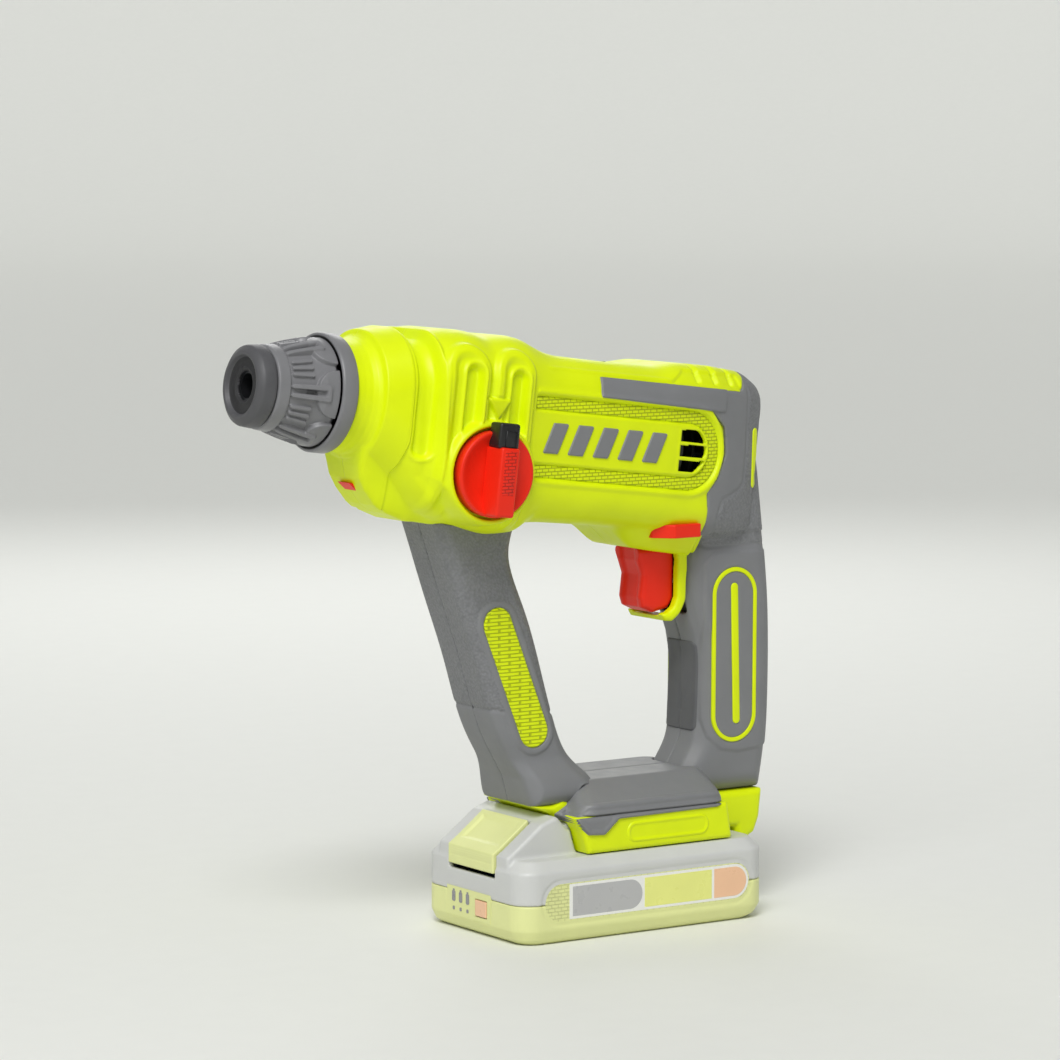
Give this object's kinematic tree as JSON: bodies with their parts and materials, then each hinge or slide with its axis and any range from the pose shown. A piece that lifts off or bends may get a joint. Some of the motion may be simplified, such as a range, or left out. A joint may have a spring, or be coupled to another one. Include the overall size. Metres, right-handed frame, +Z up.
{
  "type": "rotary hammer",
  "caption": "Battery rotary hammer with a tool-locking chuck, mode selector, looped handle and slide-on battery.",
  "frame": {"origin": "centre of the battery's underside, where the tool stands on a bench", "axes": "-X towards the nose of the chuck, +Z up, -Y towards the side with the mode selector; the hammer axis rises 7 degrees towards the nose"},
  "size_m": [0.2519, 0.0841, 0.2502],
  "materials": {
    "lime_plastic": "satin",
    "grey_plastic": "satin",
    "dark_rubber": "matte",
    "sleeve_plastic": "satin",
    "red_plastic": "satin",
    "black_plastic": "satin",
    "battery_grey": "satin",
    "battery_lime": "satin",
    "label_film": "gloss",
    "steel": "machined",
    "dark_steel": "oiled",
    "aluminium": "cast",
    "zinc_screw": "black coated",
    "copper": "enamelled wire",
    "magnet": "ferrite",
    "circuit_board": "solder mask",
    "cell_wrap": "shrink film",
    "nickel": "plated"
  },
  "bodies": {
    "housing": {"housing_left": "lime_plastic", "housing_right": "lime_plastic", "side_panels": "lime_plastic", "top_strips": "grey_plastic", "strut_left": "grey_plastic", "strut_right": "grey_plastic", "strut_pads": "lime_plastic", "handle_left": "grey_plastic", "handle_right": "grey_plastic", "handle_inlays": "lime_plastic", "base_left": "grey_plastic", "base_right": "grey_plastic", "foot_left": "lime_plastic", "foot_right": "lime_plastic", "control_board": "circuit_board", "terminal_block": "black_plastic", "front_bearing": "steel", "gearbox_plate": "aluminium", "motor_bulkhead": "aluminium", "shaft_bearings": "steel", "motor_can": "steel", "motor_magnets": "magnet", "motor_end_bell": "black_plastic", "carbon_brushes": "magnet", "switch_module": "black_plastic", "work_light_lens": "red_plastic", "housing_screws": "zinc_screw"},
    "spindle": {"hammer_spindle": "dark_steel", "spindle_gear": "dark_steel", "chuck_collar": "sleeve_plastic", "dust_cap": "dark_rubber", "locking_balls": "steel", "sleeve_spring": "steel"},
    "sleeve": {"locking_sleeve": "sleeve_plastic"},
    "layshaft": {"layshaft": "dark_steel", "layshaft_gear": "dark_steel", "wobble_drum": "dark_steel"},
    "armature": {"motor_shaft": "steel", "motor_core": "dark_steel", "motor_windings": "copper", "commutator": "copper", "motor_fan": "black_plastic"},
    "wobble": {"wobble_ring": "steel"},
    "piston": {"piston": "aluminium"},
    "striker": {"striker": "steel"},
    "impact_bolt": {"impact_bolt": "steel"},
    "selector": {"selector_knob": "red_plastic"},
    "selector_lock": {"selector_lock_button": "black_plastic"},
    "trigger": {"trigger": "red_plastic", "trigger_spring": "steel"},
    "direction": {"direction_button": "red_plastic"},
    "battery": {"battery_lower_case": "battery_lime", "battery_upper_case": "battery_grey", "charge_panel": "battery_lime", "battery_labels": "label_film", "battery_cells": "cell_wrap", "battery_board": "circuit_board", "battery_contacts": "nickel"},
    "latch": {"battery_latch": "battery_lime"},
    "charge": {"charge_button": "red_plastic"}
  },
  "joints": [
    {"name": "chuck_spin", "type": "hinge", "parent": "housing", "child": "spindle", "pos_m": [0, 0, 0.2088], "axis": [0.9925, 0, -0.1219], "continuous": true},
    {"name": "layshaft_spin", "type": "hinge", "parent": "housing", "child": "layshaft", "pos_m": [-0.00293, 0, 0.18498], "axis": [0.9925, 0, -0.1219], "continuous": true},
    {"name": "motor_spin", "type": "hinge", "parent": "housing", "child": "armature", "pos_m": [-0.00122, 0, 0.19887], "axis": [0.9925, 0, -0.1219], "continuous": true},
    {"name": "sleeve_retract", "type": "slide", "parent": "spindle", "child": "sleeve", "axis": [0.9925, 0, -0.1219], "range_m": [0, 0.005], "stiffness_N_per_m": 1500, "springref_m": -0.004, "deforming": ["sleeve_spring"]},
    {"name": "wobble_rock", "type": "hinge", "parent": "housing", "child": "wobble", "pos_m": [-0.06049, 0, 0.19205], "axis": [0, 1, 0], "range_deg": [-10, 10]},
    {"name": "piston_slide", "type": "slide", "parent": "housing", "child": "piston", "axis": [0.9925, 0, -0.1219], "range_m": [-0.0041, 0.0041]},
    {"name": "striker_slide", "type": "slide", "parent": "spindle", "child": "striker", "axis": [-0.9925, 0, 0.1219], "range_m": [0, 0.006]},
    {"name": "impact_bolt_slide", "type": "slide", "parent": "spindle", "child": "impact_bolt", "axis": [-0.9925, 0, 0.1219], "range_m": [0, 0.004]},
    {"name": "selector_turn", "type": "hinge", "parent": "housing", "child": "selector", "pos_m": [-0.07462, 0, 0.19267], "axis": [0, -1, 0], "range_deg": [0, 180]},
    {"name": "selector_lock_press", "type": "slide", "parent": "selector", "child": "selector_lock", "axis": [-0.1219, 0, -0.9925], "range_m": [0, 0.002], "stiffness_N_per_m": 1200, "springref_m": -0.001},
    {"name": "trigger_pull", "type": "slide", "parent": "housing", "child": "trigger", "axis": [1, 0, 0], "range_m": [0, 0.007], "stiffness_N_per_m": 1200, "springref_m": -0.003, "deforming": ["trigger_spring"]},
    {"name": "direction_shift", "type": "slide", "parent": "housing", "child": "direction", "axis": [0, 1, 0], "range_m": [-0.004, 0.004]},
    {"name": "battery_slide", "type": "slide", "parent": "housing", "child": "battery", "axis": [-1, 0, 0], "range_m": [0, 0.125]},
    {"name": "latch_press", "type": "slide", "parent": "battery", "child": "latch", "axis": [0.61, 0, -0.7924], "range_m": [0, 0.0015], "stiffness_N_per_m": 2500, "springref_m": -0.001},
    {"name": "charge_button_press", "type": "slide", "parent": "battery", "child": "charge", "axis": [1, 0, 0], "range_m": [0, 0.0006], "stiffness_N_per_m": 2500, "springref_m": -0.0005}
  ],
  "couplings": [
    {"joint": "layshaft_spin", "follows": "motor_spin", "ratio": -0.34615},
    {"joint": "chuck_spin", "follows": "motor_spin", "ratio": 0.11539},
    {"joint": "wobble_rock", "follows": "piston_slide", "rad_per_m": 41.667}
  ]
}
